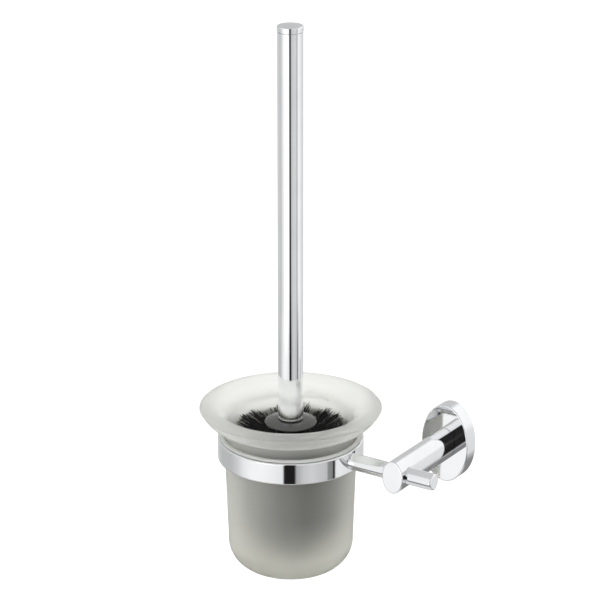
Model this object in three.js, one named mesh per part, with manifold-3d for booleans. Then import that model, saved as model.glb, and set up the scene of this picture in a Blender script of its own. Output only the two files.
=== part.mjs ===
// Wall mounted toilet brush holder, in mm. +Z is up and +Y points into the wall.
// The origin is the middle of the face that lies on the wall. A post comes out of an oval
// rosette, a crossbar passes through the post, and a ring on the crossbar carries a glass cup.
// The brush stands in the cup: a head with rows of bristles, a splash disc and a tube handle.
import * as THREE from "three";
import { mergeVertices } from "three/addons/utils/BufferGeometryUtils.js";
import Module from "manifold-3d";

const wasm = await Module();
wasm.setup();

// ---- Driving dimensions ----

const GAP = 0.3; // clearance between pieces that fit or seat on each other
const OVERRUN = 1; // how far a cutter runs past the face that it opens

// Wall side
const WALL_TO_BAR = 75; // wall face to the crossbar's axis
const ROSETTE_WIDTH = 38;
const ROSETTE_HEIGHT = 59;
const ROSETTE_DEPTH = 12;
const ROSETTE_WALL = 2.2;
const ROSETTE_EDGE = 0.9; // chamfer round the front face
const WALL_HOLE_SPACING = 36; // between the two wall screw holes, upright
const WALL_HOLE_R = 2.3;
const COUNTERSINK_R = 4.6;

// Post and crossbar
const POST_WIDTH = 16.8;
const POST_HEIGHT = 24.2;
const POST_NOSE = 9.8; // from the crossbar's axis to the post's front face
const POST_EDGE = 0.8;
const BAR_R = 6;
const BAR_REACH = 38.8; // from the post's axis to the ring's outside
const KNOB_REACH = 28.6; // from the post's axis to the crossbar's free end
const KNOB_EDGE = 1.4;

// Screws
const SCREW_R = 2;
const SCREW_HEAD_R = 3.5;
const SCREW_HEAD_L = 2.6;
const POST_SCREW_SPACING = 13;
const POST_SCREW_REACH = 10; // how deep the screws go into the post
const RING_SCREW_REACH = 9; // how deep the ring's screw goes into the crossbar
const RING_SCREW_HEAD_R = 3.9;
const SUNK_HEAD_RIM = 0.4; // straight part of a countersunk head
const ROSETTE_GRUB_L = 5;
const GRUB_RECESS = 0.8; // how far a grub screw sits below the surface
const SOCKET_R = 1.3; // corner radius of a hexagon socket
const SOCKET_DEPTH = 1.3;

// Cup
const NECK_R = 48.2; // outside of the cup just under its flare
const CUP_SHOULDER_R = 45.3; // outside of the cup where the side meets the foot's curve
const CUP_DEPTH = 92.9; // from the crossbar's axis down to the cup's foot
const CUP_WALL = 4.5;
const CUP_FLOOR = 5;
const FOOT_CURVE_R = 19;
const FOOT_RECESS = 1.2;
const FLARE_R = 17.7; // radius of the curve under the flare
const FLARE_RISE = 14.3; // from the bottom of the flare to the rim's crest
const RIM_REACH = 17.2; // how far the rim stands out from the neck
const RIM_CREST = 9; // how far the rim's highest line stands out from the neck
const RIM_DROP = 2.5; // from the crest down to the widest line

// Ring and liner
const RING_HEIGHT = 15.7;
const RING_WALL = 2.8;
const RING_DROP = 0.2; // the ring's middle, below the crossbar's axis
const RING_EDGE = 0.9;
const LINER_WALL = 1.25; // at its thinnest, behind the top of the cup's taper
const LINER_LIP = 1.65; // height of the lip that lies on the ring
const LINER_LIP_REACH = 1.2; // how far the lip covers the ring
const NECK_RISE = 10.6; // from the ring's top to the bottom of the flare

// Brush
const HANDLE_R = 9;
const HANDLE_WALL = 1;
const HANDLE_LENGTH = 283.7; // the tube, without its cap
const CAP_SKIRT = 4.2;
const CAP_DOME = 0.9;
const CAP_PROUD = 0.2; // how far the cap stands out from the tube
const CAP_SPIGOT = 10;
const INSERT_LENGTH = 20;
const INSERT_WALL = 1.4;
const COLLAR_HEIGHT = 0.5; // the dark collar in the gap under the tube
const COLLAR_WALL = 1.1;
const STUD_BELOW = 16; // how far the threaded stud stands out of the insert
const HEAD_HEIGHT = 105.3; // from the lowest bristles to the top of the hub
const HUB_FOOT = 25.1; // from the lowest bristles to the hub's lower end
const HUB_SKIN = 2.7; // hub material round the threaded bush
const BUSH_WALL = 1.7;
const BUSH_LENGTH = 15;
const DISC_R = 18.8;
const DISC_EDGE = 1.3;
const DISC_CROWN = 1.7; // rise from the disc's edge to its middle
const BRISTLE_CLEARANCE = 3; // between the bristles and the inside of the cup
const BRISTLE_ROWS = 7;
const ROW_PITCH = 10.5;
const ROW_HEIGHT = 9.4;
const TOP_ROW_LIFT = 10; // how far the top row's tips turn up
const HEAD_ROUND = 40; // height of the head's rounded lower end

// ---- Sizes that follow from them ----

const ringTop = RING_HEIGHT / 2 - RING_DROP;
const ringBottom = -RING_HEIGHT / 2 - RING_DROP;
const flareBottom = ringTop + NECK_RISE;
const cupFoot = -CUP_DEPTH;
const shoulderZ = cupFoot + FOOT_CURVE_R;
const cupTaper = (NECK_R - CUP_SHOULDER_R) / (flareBottom - shoulderZ);
const cupOutside = (z) => CUP_SHOULDER_R + cupTaper * (z - shoulderZ);
const cupFloorTop = cupFoot + CUP_FLOOR;
const linerTop = ringTop + GAP + LINER_LIP;
const linerOutside = cupOutside(linerTop) + GAP + LINER_WALL;
const ringInside = linerOutside + GAP;
const ringOutside = ringInside + RING_WALL;
const cupAxis = new THREE.Vector3(-BAR_REACH - ringOutside, -WALL_TO_BAR, 0);
const bracketDepth = ROSETTE_DEPTH - ROSETTE_WALL - SCREW_HEAD_L - 2 * GAP;
const rosetteFront = ROSETTE_DEPTH + GAP; // where the post starts, measured from the wall
const postRatio = POST_WIDTH / POST_HEIGHT;
const tubeInside = HANDLE_R - HANDLE_WALL;
const insertR = tubeInside - GAP;
const studR = insertR - INSERT_WALL - GAP;
const collarR = studR + GAP + COLLAR_WALL;
const bushR = studR + GAP + BUSH_WALL;
const hubR = bushR + GAP + HUB_SKIN;
const brushFoot = cupFloorTop + GAP;
const headR = CUP_SHOULDER_R - CUP_WALL - BRISTLE_CLEARANCE;
const headRoundTop = brushFoot + HEAD_ROUND;
const hubTop = brushFoot + HEAD_HEIGHT;
const discBottom = hubTop + GAP;
const discTop = discBottom + DISC_EDGE + DISC_CROWN;
const tubeBottom = discTop + GAP + COLLAR_HEIGHT;
const tubeTop = tubeBottom + HANDLE_LENGTH;

// ---- Materials ----

const finish = (color, roughness, metalness) =>
  new THREE.MeshStandardMaterial({ color, roughness, metalness });
const chrome = finish(0xd8dadb, 0.06, 1);
const steel = finish(0x9a9da0, 0.35, 1);
const brass = finish(0xb9995a, 0.4, 1);
const frostedGlass = finish(0xdfe1db, 0.55, 0);
const clearPlastic = finish(0xdde0dc, 0.4, 0);
const blackPlastic = finish(0x1c1d1e, 0.45, 0);
const greyDisc = finish(0x55585a, 0.2, 0);
const bristle = finish(0x101011, 0.6, 0);

// ---- Geometry helpers ----

/** Points of an arc, angles in degrees, as [radius, height] pairs. */
function arc(centreR, centreZ, radiusR, from, to, steps, radiusZ = radiusR) {
  return Array.from({ length: steps + 1 }, (_, i) => {
    const angle = THREE.MathUtils.degToRad(from + ((to - from) * i) / steps);
    return [centreR + radiusR * Math.cos(angle), centreZ + radiusZ * Math.sin(angle)];
  });
}

/** A body of revolution about Z. The profile runs up its outside and down its inside. */
function revolve(profile, segments = 32) {
  const points = profile.map(([r, z]) => new THREE.Vector2(r, z));
  return new THREE.LatheGeometry(points, segments).rotateX(Math.PI / 2);
}

/** A profile's point repeated at its end, so that a hollow body closes on itself. */
const closed = (profile) => [...profile, profile[0]];

/** An oval bar standing out from the wall. The profile gives half heights and distances. */
function oval(profile, widthToHeight, segments = 56) {
  return revolve(profile, segments).scale(widthToHeight, 1, 1).rotateX(Math.PI / 2);
}

/** A plain rod along an axis, between two places on that axis. */
function rod(axis, radius, from, to, segments = 24) {
  const geometry = new THREE.CylinderGeometry(radius, radius, Math.abs(to - from), segments);
  if (axis === "x") geometry.rotateZ(Math.PI / 2);
  if (axis === "z") geometry.rotateX(Math.PI / 2);
  const middle = (from + to) / 2;
  return geometry.translate(
    axis === "x" ? middle : 0,
    axis === "y" ? middle : 0,
    axis === "z" ? middle : 0,
  );
}

function toSolid(geometry) {
  const bare = geometry.clone();
  bare.deleteAttribute("normal");
  bare.deleteAttribute("uv");
  const merged = mergeVertices(bare, 1e-4);
  const corners = [];
  for (let i = 0; i < merged.index.count; i += 3) {
    const [a, b, c] = [0, 1, 2].map((k) => merged.index.getX(i + k));
    if (a !== b && b !== c && c !== a) corners.push(a, b, c);
  }
  const vertProperties = new Float32Array(merged.attributes.position.array);
  return new wasm.Manifold(
    new wasm.Mesh({ numProp: 3, vertProperties, triVerts: new Uint32Array(corners) }),
  );
}

function toGeometry(body) {
  const { vertProperties, triVerts } = body.getMesh();
  const geometry = new THREE.BufferGeometry();
  geometry.setAttribute("position", new THREE.BufferAttribute(vertProperties, 3));
  geometry.setIndex(new THREE.BufferAttribute(triVerts, 1));
  geometry.computeVertexNormals();
  return geometry;
}

function cut(geometry, ...tools) {
  const body = tools.reduce((left, tool) => left.subtract(toSolid(tool)), toSolid(geometry));
  return toGeometry(body);
}

function add(parent, name, geometry, material) {
  const mesh = new THREE.Mesh(geometry, material.clone());
  mesh.name = name;
  parent.add(mesh);
  return mesh;
}

/** A screw along +Z with its head's top at 0 and its shank below, with a hexagon socket. */
function screw(headR, headL, shankR, length, { countersunk = false, tip = 0.5 } = {}) {
  const headEdge = countersunk ? -SUNK_HEAD_RIM : -headL;
  const profile = [
    [0, -length],
    [shankR - tip, -length],
    [shankR, -length + tip],
    [shankR, -headL],
    [headR, headEdge],
    [headR, 0],
    [0, 0],
  ];
  const socket = rod("z", SOCKET_R, -SOCKET_DEPTH, OVERRUN, 6);
  return cut(revolve(profile, 24), socket);
}

/** A headless screw along +Z with its socket at the top. */
function grub(length) {
  const profile = [
    [0, -length],
    [SCREW_R - 0.9, -length],
    [SCREW_R, -length + 0.9],
    [SCREW_R, -0.3],
    [SCREW_R - 0.3, 0],
    [0, 0],
  ];
  return cut(revolve(profile, 24), rod("z", SOCKET_R, -SOCKET_DEPTH, OVERRUN, 6));
}

// ---- Wall side: bracket, rosette, post ----

const wallGrubY = -bracketDepth / 2;

function wallBracket() {
  const halfHeight = ROSETTE_HEIGHT / 2 - ROSETTE_WALL - GAP;
  const halfWidth = ROSETTE_WIDTH / 2 - ROSETTE_WALL - GAP;
  const plate = oval(
    [[0, 0], [halfHeight, 0], [halfHeight, bracketDepth], [0, bracketDepth]],
    halfWidth / halfHeight,
  );
  const screwHole = (side) => {
    const hole = revolve([
      [0, -bracketDepth - OVERRUN],
      [WALL_HOLE_R, -bracketDepth - OVERRUN],
      [WALL_HOLE_R, -(COUNTERSINK_R - WALL_HOLE_R)],
      [COUNTERSINK_R, 0],
      [COUNTERSINK_R, OVERRUN],
      [0, OVERRUN],
    ], 24);
    return hole.rotateX(Math.PI / 2).translate(0, -bracketDepth, (side * WALL_HOLE_SPACING) / 2);
  };
  const grubTip = -ROSETTE_HEIGHT / 2 + GRUB_RECESS + ROSETTE_GRUB_L + GAP;
  const grubHole = rod("z", SCREW_R + GAP, -ROSETTE_HEIGHT, grubTip);
  grubHole.translate(0, wallGrubY, 0);
  return cut(plate, screwHole(1), screwHole(-1), grubHole);
}

function rosette() {
  const half = ROSETTE_HEIGHT / 2;
  const outside = oval([
    [0, 0],
    [half, 0],
    ...arc(half - ROSETTE_EDGE, ROSETTE_DEPTH - ROSETTE_EDGE, ROSETTE_EDGE, 0, 90, 3),
    [0, ROSETTE_DEPTH],
  ], ROSETTE_WIDTH / ROSETTE_HEIGHT, 64);
  const innerHalf = half - ROSETTE_WALL;
  const hollowDepth = ROSETTE_DEPTH - ROSETTE_WALL;
  const hollow = oval([
    [0, -OVERRUN],
    [innerHalf, -OVERRUN],
    [innerHalf, hollowDepth],
    [0, hollowDepth],
  ], (ROSETTE_WIDTH / 2 - ROSETTE_WALL) / innerHalf, 64);
  const screwHoles = [1, -1].map((side) =>
    rod("y", SCREW_R + GAP, -ROSETTE_DEPTH - OVERRUN, 0).translate(0, 0, (side * POST_SCREW_SPACING) / 2),
  );
  const grubHole = rod("z", SCREW_R + GAP, -half - OVERRUN, -half / 2).translate(0, wallGrubY, 0);
  return cut(outside, hollow, ...screwHoles, grubHole);
}

function post() {
  const half = POST_HEIGHT / 2;
  const front = WALL_TO_BAR + POST_NOSE;
  const bar = oval([
    [0, rosetteFront],
    [half, rosetteFront],
    ...arc(half - POST_EDGE, front - POST_EDGE, POST_EDGE, 0, 90, 3),
    [0, front],
  ], postRatio);
  const crossHole = rod("x", BAR_R + GAP, -POST_WIDTH, POST_WIDTH, 40).translate(0, -WALL_TO_BAR, 0);
  const deep = rosetteFront + POST_SCREW_REACH + OVERRUN;
  const screwHoles = [1, -1].map((side) =>
    rod("y", SCREW_R + GAP, -deep, -rosetteFront + OVERRUN).translate(0, 0, (side * POST_SCREW_SPACING) / 2),
  );
  const grubHole = rod("z", SCREW_R + GAP, -POST_HEIGHT, 0).translate(0, -WALL_TO_BAR, 0);
  return cut(bar, crossHole, ...screwHoles, grubHole);
}

// ---- Crossbar, ring and liner ----

function crossbar() {
  const start = -BAR_REACH - RING_WALL;
  const round = revolve([
    [0, start],
    [BAR_R, start],
    ...arc(BAR_R - KNOB_EDGE, KNOB_REACH - KNOB_EDGE, KNOB_EDGE, 0, 90, 3),
    [0, KNOB_REACH],
  ], 40).rotateY(Math.PI / 2).translate(0, -WALL_TO_BAR, 0);
  const saddle = rod("z", ringOutside + GAP, -RING_HEIGHT, RING_HEIGHT, 180);
  saddle.translate(cupAxis.x, cupAxis.y, 0);
  const tapped = rod("x", SCREW_R + GAP, -BAR_REACH - OVERRUN, -BAR_REACH + RING_SCREW_REACH + OVERRUN);
  return cut(round, saddle, tapped.translate(0, -WALL_TO_BAR, 0));
}

function ring() {
  const band = revolve(closed([
    [ringInside, ringBottom],
    ...arc(ringOutside - RING_EDGE, ringBottom + RING_EDGE, RING_EDGE, -90, 0, 3),
    ...arc(ringOutside - RING_EDGE, ringTop - RING_EDGE, RING_EDGE, 0, 90, 3),
    [ringInside, ringTop],
  ]), 60);
  const shank = rod("x", SCREW_R + GAP, 0, ringOutside + OVERRUN);
  const sinkStart = ringInside + SUNK_HEAD_RIM + 2 * GAP;
  const sink = revolve([
    [0, 0],
    [RING_SCREW_HEAD_R + GAP, 0],
    [RING_SCREW_HEAD_R + GAP, sinkStart],
    [SCREW_R + GAP, sinkStart + RING_SCREW_HEAD_R - SCREW_R],
    [0, sinkStart + RING_SCREW_HEAD_R - SCREW_R],
  ], 24).rotateY(Math.PI / 2);
  return cut(band, shank, sink);
}

function ringLiner() {
  const bottom = ringBottom + RING_EDGE;
  const lipOutside = ringInside + LINER_LIP_REACH;
  const lipEdge = LINER_LIP / 3;
  return revolve(closed([
    [cupOutside(bottom) + GAP, bottom],
    [linerOutside, bottom],
    [linerOutside, ringTop + GAP],
    [lipOutside, ringTop + GAP],
    [lipOutside, linerTop - lipEdge],
    [lipOutside - lipEdge, linerTop],
    [cupOutside(linerTop) + GAP, linerTop],
  ]), 60);
}

// ---- Glass cup ----

function glassCup() {
  const footFlat = CUP_SHOULDER_R - FOOT_CURVE_R;
  const rimZ = flareBottom + FLARE_RISE;
  const widestZ = rimZ - RIM_DROP;
  const crestR = NECK_R + RIM_CREST;
  const widestR = NECK_R + RIM_REACH;
  const flareCentreZ = flareBottom + FLARE_R;
  const flareEnd = THREE.MathUtils.radToDeg(Math.asin((widestZ - 1 - flareCentreZ) / FLARE_R));
  const innerNeckR = NECK_R - CUP_WALL;
  const throatZ = ringTop + GAP + LINER_LIP;
  const innerShoulderR = CUP_SHOULDER_R - CUP_WALL;
  const innerCurveR = FOOT_CURVE_R - CUP_WALL;
  return revolve([
    [0, cupFoot + FOOT_RECESS],
    [footFlat - 4, cupFoot + FOOT_RECESS],
    [footFlat - 2.5, cupFoot],
    ...arc(footFlat, shoulderZ, FOOT_CURVE_R, -90, 0, 7),
    ...arc(NECK_R, flareCentreZ, FLARE_R, -90, flareEnd, 7),
    ...arc(crestR, widestZ, widestR - crestR, 0, 90, 5, RIM_DROP),
    ...arc(crestR, throatZ, crestR - innerNeckR, 105, 180, 6, rimZ - throatZ),
    ...arc(innerShoulderR - innerCurveR, cupFloorTop + innerCurveR, innerCurveR, 0, -90, 5),
    [0, cupFloorTop],
  ], 60);
}

// ---- Brush ----

/** Radius of the head at a height: round at its lower end, straight above that. */
function bristleTips(z) {
  const below = Math.max(0, headRoundTop - z) / HEAD_ROUND;
  return headR * Math.sqrt(1 - below ** 2);
}

function bristleRow(index) {
  const bottom = brushFoot + HUB_FOOT + ROW_PITCH * index;
  const top = bottom + ROW_HEIGHT;
  const isTop = index === BRISTLE_ROWS - 1;
  const lift = isTop ? TOP_ROW_LIFT : 0;
  const inside = hubR + GAP;
  return revolve(closed([
    [inside, bottom],
    [bristleTips(bottom), bottom + lift / 2],
    [bristleTips(top), top + lift],
    [(inside + headR) / 2, top + lift / 3],
    [inside, top],
  ]), 28);
}

function bristleCrown() {
  const top = brushFoot + HUB_FOOT - 1;
  const topAngle = -THREE.MathUtils.radToDeg(Math.asin((headRoundTop - top) / HEAD_ROUND));
  return revolve([
    [0, brushFoot],
    ...arc(0, headRoundTop, headR, -80, topAngle, 5, HEAD_ROUND),
    [0, top],
  ], 28);
}

function brushHub() {
  const foot = brushFoot + HUB_FOOT - 1 + GAP;
  const boreFloor = hubTop - BUSH_LENGTH - GAP;
  return revolve([
    [0, foot],
    [hubR - 2, foot],
    [hubR, foot + 2],
    [hubR, hubTop],
    [bushR + GAP, hubTop],
    [bushR + GAP, boreFloor],
    [0, boreFloor],
  ], 32);
}

function hubBush() {
  return revolve(closed([
    [studR + GAP, hubTop - BUSH_LENGTH],
    [bushR, hubTop - BUSH_LENGTH],
    [bushR, hubTop],
    [studR + GAP, hubTop],
  ]), 32);
}

function splashDisc() {
  const hole = studR + GAP;
  return revolve(closed([
    [hole, discBottom],
    [DISC_R, discBottom],
    [DISC_R, discBottom + DISC_EDGE],
    [DISC_R * 0.8, discTop - DISC_CROWN * 0.6],
    [DISC_R * 0.5, discTop - DISC_CROWN * 0.15],
    [hole, discTop],
  ]), 48);
}

function handleTube() {
  return revolve(closed([
    [tubeInside, tubeBottom],
    [HANDLE_R, tubeBottom],
    [HANDLE_R, tubeTop],
    [tubeInside, tubeTop],
  ]), 40);
}

function handleCap() {
  const outside = HANDLE_R + CAP_PROUD;
  const skirtBottom = tubeTop + GAP;
  const skirtTop = skirtBottom + CAP_SKIRT;
  const edge = 1;
  return revolve([
    [0, tubeTop - CAP_SPIGOT],
    [insertR, tubeTop - CAP_SPIGOT],
    [insertR, skirtBottom],
    [outside, skirtBottom],
    ...arc(outside - edge, skirtTop - edge, edge, 0, 60, 3),
    [outside * 0.6, skirtTop + CAP_DOME * 0.62],
    [outside * 0.3, skirtTop + CAP_DOME * 0.9],
    [0, skirtTop + CAP_DOME],
  ], 40);
}

function handleInsert() {
  return revolve(closed([
    [studR + GAP, discTop + GAP],
    [collarR, discTop + GAP],
    [collarR, tubeBottom - GAP],
    [insertR, tubeBottom - GAP],
    [insertR, tubeBottom + INSERT_LENGTH],
    [studR + GAP, tubeBottom + INSERT_LENGTH],
  ]), 32);
}

function handleStud() {
  const bottom = tubeBottom - STUD_BELOW;
  const top = tubeBottom + INSERT_LENGTH - 1;
  return revolve([
    [0, bottom],
    [studR - 1, bottom],
    [studR, bottom + 1],
    [studR, top],
    [0, top],
  ], 32);
}

// ---- Assembly ----

const model = new THREE.Group();

add(model, "wall_bracket", wallBracket(), steel);
add(model, "rosette", rosette(), chrome);
add(model, "post", post(), chrome);
add(model, "crossbar", crossbar(), chrome);

const rosetteGrub = add(model, "rosette_grub_screw", grub(ROSETTE_GRUB_L), steel);
rosetteGrub.rotation.x = Math.PI;
rosetteGrub.position.set(0, wallGrubY, -ROSETTE_HEIGHT / 2 + GRUB_RECESS);

const barGrub = add(
  model,
  "crossbar_grub_screw",
  grub(POST_HEIGHT / 2 - GRUB_RECESS - BAR_R - GAP),
  steel,
);
barGrub.rotation.x = Math.PI;
barGrub.position.set(0, -WALL_TO_BAR, -POST_HEIGHT / 2 + GRUB_RECESS);

for (const [name, side] of [["post_screw_upper", 1], ["post_screw_lower", -1]]) {
  const shank = ROSETTE_WALL + GAP + POST_SCREW_REACH;
  const bolt = screw(SCREW_HEAD_R, SCREW_HEAD_L, SCREW_R, SCREW_HEAD_L + GAP + shank);
  const mesh = add(model, name, bolt, steel);
  mesh.rotation.x = -Math.PI / 2;
  const headTop = -(ROSETTE_DEPTH - ROSETTE_WALL) + GAP + SCREW_HEAD_L;
  mesh.position.set(0, headTop, (side * POST_SCREW_SPACING) / 2);
}

const cupGroup = new THREE.Group();
cupGroup.position.copy(cupAxis);
model.add(cupGroup);
add(cupGroup, "ring", ring(), chrome);
add(cupGroup, "ring_liner", ringLiner(), clearPlastic);
add(cupGroup, "glass_cup", glassCup(), frostedGlass);

const ringScrew = add(
  cupGroup,
  "ring_screw",
  screw(RING_SCREW_HEAD_R, RING_SCREW_HEAD_R - SCREW_R, SCREW_R, RING_WALL + RING_SCREW_REACH, {
    countersunk: true,
  }),
  steel,
);
ringScrew.rotation.y = -Math.PI / 2;
ringScrew.position.x = ringInside + GAP;

add(cupGroup, "brush_hub", brushHub(), blackPlastic);
add(cupGroup, "hub_bush", hubBush(), brass);
for (let index = 0; index < BRISTLE_ROWS; index += 1) {
  add(cupGroup, `bristle_row_${index + 1}`, bristleRow(index), bristle);
}
add(cupGroup, "bristle_crown", bristleCrown(), bristle);
add(cupGroup, "splash_disc", splashDisc(), greyDisc);
add(cupGroup, "handle_tube", handleTube(), chrome);
add(cupGroup, "handle_cap", handleCap(), chrome);
add(cupGroup, "handle_insert", handleInsert(), blackPlastic);
add(cupGroup, "handle_stud", handleStud(), steel);

export default model;
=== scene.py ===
# %% [markdown]
# # Wall mounted toilet brush holder
# A chrome post stands out of an oval rosette on the wall. A round crossbar goes through the post
# and carries a ring, and a frosted glass cup hangs in the ring. The brush stands in the cup.
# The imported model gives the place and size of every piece, so it is loaded first.

import math

import bmesh
import bpy
import numpy as np
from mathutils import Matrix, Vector


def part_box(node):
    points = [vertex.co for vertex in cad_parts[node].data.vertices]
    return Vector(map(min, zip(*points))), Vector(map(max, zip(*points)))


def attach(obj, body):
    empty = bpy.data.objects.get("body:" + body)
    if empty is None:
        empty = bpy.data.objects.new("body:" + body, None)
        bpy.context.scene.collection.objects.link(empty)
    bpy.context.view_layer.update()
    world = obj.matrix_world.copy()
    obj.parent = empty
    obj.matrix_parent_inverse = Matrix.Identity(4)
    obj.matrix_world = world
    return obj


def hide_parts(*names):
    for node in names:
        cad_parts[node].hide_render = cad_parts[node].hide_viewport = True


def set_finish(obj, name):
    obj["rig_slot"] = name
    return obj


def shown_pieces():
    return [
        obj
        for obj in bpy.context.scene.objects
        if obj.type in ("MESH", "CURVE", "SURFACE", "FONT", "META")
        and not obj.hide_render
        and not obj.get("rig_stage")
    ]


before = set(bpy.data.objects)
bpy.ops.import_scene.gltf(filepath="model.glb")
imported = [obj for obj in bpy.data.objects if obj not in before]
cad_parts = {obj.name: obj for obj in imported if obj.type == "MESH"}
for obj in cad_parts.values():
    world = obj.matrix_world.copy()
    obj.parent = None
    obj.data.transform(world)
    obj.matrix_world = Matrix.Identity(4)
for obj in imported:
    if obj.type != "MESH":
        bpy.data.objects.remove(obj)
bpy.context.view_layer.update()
print("nodes:", len(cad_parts))

# %% [markdown]
# ## Places that the pieces share
# Lengths are in metres, and a maker thinks in millimetres, so each size below is written in
# millimetres and multiplied by MM. The cup, the ring and the brush share one upright axis,
# which is read from the ring's box.

# %% Axis, and the sizes of round pieces
MM = 0.001
ring_low, ring_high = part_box("ring")
AXIS = Vector(((ring_low.x + ring_high.x) / 2, (ring_low.y + ring_high.y) / 2, 0))
FIT = 0.3 * MM


def upright(node):
    """Radius, bottom and top of a round node on the cup's axis."""
    low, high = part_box(node)
    return (high.x - low.x) / 2, low.z, high.z


RING_R, RING_BOTTOM, RING_TOP = upright("ring")
print("axis (mm):", [round(v / MM, 2) for v in AXIS])
print("ring radius (mm):", round(RING_R / MM, 2))

# %% [markdown]
# ## The camera
# A long lens from above the right front keeps upright lines nearly parallel. The camera looks
# at a point a little above the cup, so that the whole handle fits in.

# %% Camera
LOOK_AZIMUTH = math.radians(33.197)
LOOK_HEIGHT = math.radians(20.023)
LOOK_DISTANCE = 1766 * MM
LOOK_AT = Vector((-83.6, -74.7, 112.84)) * MM
LENS = 150.43

backwards = Vector((
    math.sin(LOOK_AZIMUTH) * math.cos(LOOK_HEIGHT),
    -math.cos(LOOK_AZIMUTH) * math.cos(LOOK_HEIGHT),
    math.sin(LOOK_HEIGHT),
))
camera = bpy.data.objects.new("camera", bpy.data.cameras.new("camera"))
bpy.context.scene.collection.objects.link(camera)
camera.location = LOOK_AT + backwards * LOOK_DISTANCE
camera.rotation_mode = "QUATERNION"
camera.rotation_quaternion = (-backwards).to_track_quat("-Z", "Y")
camera.data.sensor_width = 36
camera.data.lens = LENS
camera.data.clip_start, camera.data.clip_end = 0.1, 100
bpy.context.scene.camera = camera
bpy.context.scene.view_settings.view_transform = "Standard"
print("camera at", [round(v, 3) for v in camera.location])

# %% [markdown]
# ## Nodes written as plain sums
# A material's pattern is arithmetic on noise. Wiring Math nodes by hand is slow to read, so
# Number wraps a socket and lets an expression such as 1 - dust * 0.5 add the Math nodes.
# Every other node comes from one method, which sets the node's settings before its sockets.

# %% Number and Wiring
class Number:
    """A socket with one number in it, for use in sums."""

    def __init__(self, wiring, socket):
        self.wiring, self.socket = wiring, socket

    def sum(self, operation, first, second, clamp=False):
        settings = {"operation": operation, "use_clamp": clamp}
        return self.wiring.number("ShaderNodeMath", settings, {0: first, 1: second})

    def __add__(self, other):
        return self.sum("ADD", self, other)

    def __radd__(self, other):
        return self.sum("ADD", other, self)

    def __sub__(self, other):
        return self.sum("SUBTRACT", self, other)

    def __rsub__(self, other):
        return self.sum("SUBTRACT", other, self)

    def __mul__(self, other):
        return self.sum("MULTIPLY", self, other)

    def __rmul__(self, other):
        return self.sum("MULTIPLY", other, self)

    def between(self, low, high):
        """0 below low, 1 above high, and a straight slope in between."""
        return self.sum("MULTIPLY", self - low, 1 / (high - low), clamp=True)


class Wiring:
    """A node tree, emptied, and the one method that adds a node to it."""

    def __init__(self, tree):
        self.tree = tree
        tree.nodes.clear()

    def node(self, kind, settings=None, sockets=None):
        node = self.tree.nodes.new(kind)
        for name, value in (settings or {}).items():
            if name == "stops":
                self.set_stops(node.color_ramp, value)
            else:
                setattr(node, name, value)
        for name, value in (sockets or {}).items():
            socket = node.inputs[name]
            if isinstance(value, Number):
                value = value.socket
            if isinstance(value, bpy.types.NodeSocket):
                self.tree.links.new(value, socket)
            else:
                socket.default_value = value
        return node

    def set_stops(self, ramp, stops):
        while len(ramp.elements) < len(stops):
            ramp.elements.new(0.5)
        for element, (place, colour) in zip(ramp.elements, stops):
            element.position = place
            element.color = (*colour, 1) if isinstance(colour, tuple) else (colour,) * 3 + (1,)

    def number(self, kind, settings=None, sockets=None, out=0):
        return Number(self, self.node(kind, settings, sockets).outputs[out])


# %% [markdown]
# ## Studio light
# Chrome shows nothing but its surroundings, so the surroundings are designed first. In a
# product studio white sheets stand all round, with a narrow dark gap where the camera stands
# and greyer walls beyond the sheets. That gap is what draws the dark stripe down a chrome
# tube. Lamps and card could be modelled, but they would hide things from the camera, so a
# world shader does it. Three bands of wall, low, level and high, each have a brightness for
# every compass direction: the ring mirrors mostly the low band, the tube the level one and
# the top of the post the high one. Only mirrored rays see the bands, and every other ray
# sees plain white.

# %% World that knows where a ray points
world = bpy.data.worlds.new("studio")
bpy.context.scene.world = world
world.use_nodes = True
studio = Wiring(world.node_tree)
direction = studio.node("ShaderNodeTexCoord").outputs["Generated"]
compass = studio.node("ShaderNodeSeparateXYZ", sockets={0: direction})
east, north, height = [Number(studio, out) for out in compass.outputs]
azimuth = studio.number("ShaderNodeMath", {"operation": "ARCTAN2"}, {0: east, 1: north * -1})
turn = azimuth - LOOK_AZIMUTH + 3 * math.pi
share = studio.number("ShaderNodeMath", {"operation": "MODULO"}, {0: turn, 1: math.tau})
share = share * (1 / math.tau)


def at(degrees):
    """Place on the ramp of a direction, counted from the camera, to the right."""
    return (degrees + 180) / 360


def ramp(stops):
    """A brightness for each direction round the horizon."""
    stops = [(at(degrees), brightness) for degrees, brightness in stops]
    return studio.node("ShaderNodeValToRGB", {"stops": stops}, {0: share}).outputs["Color"]


def mixed(amount, first, second):
    """The first brightness where amount is 0, the second where it is 1."""
    sockets = {0: amount, 6: first, 7: second}
    return studio.node("ShaderNodeMix", {"data_type": "RGBA"}, sockets).outputs[2]


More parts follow.
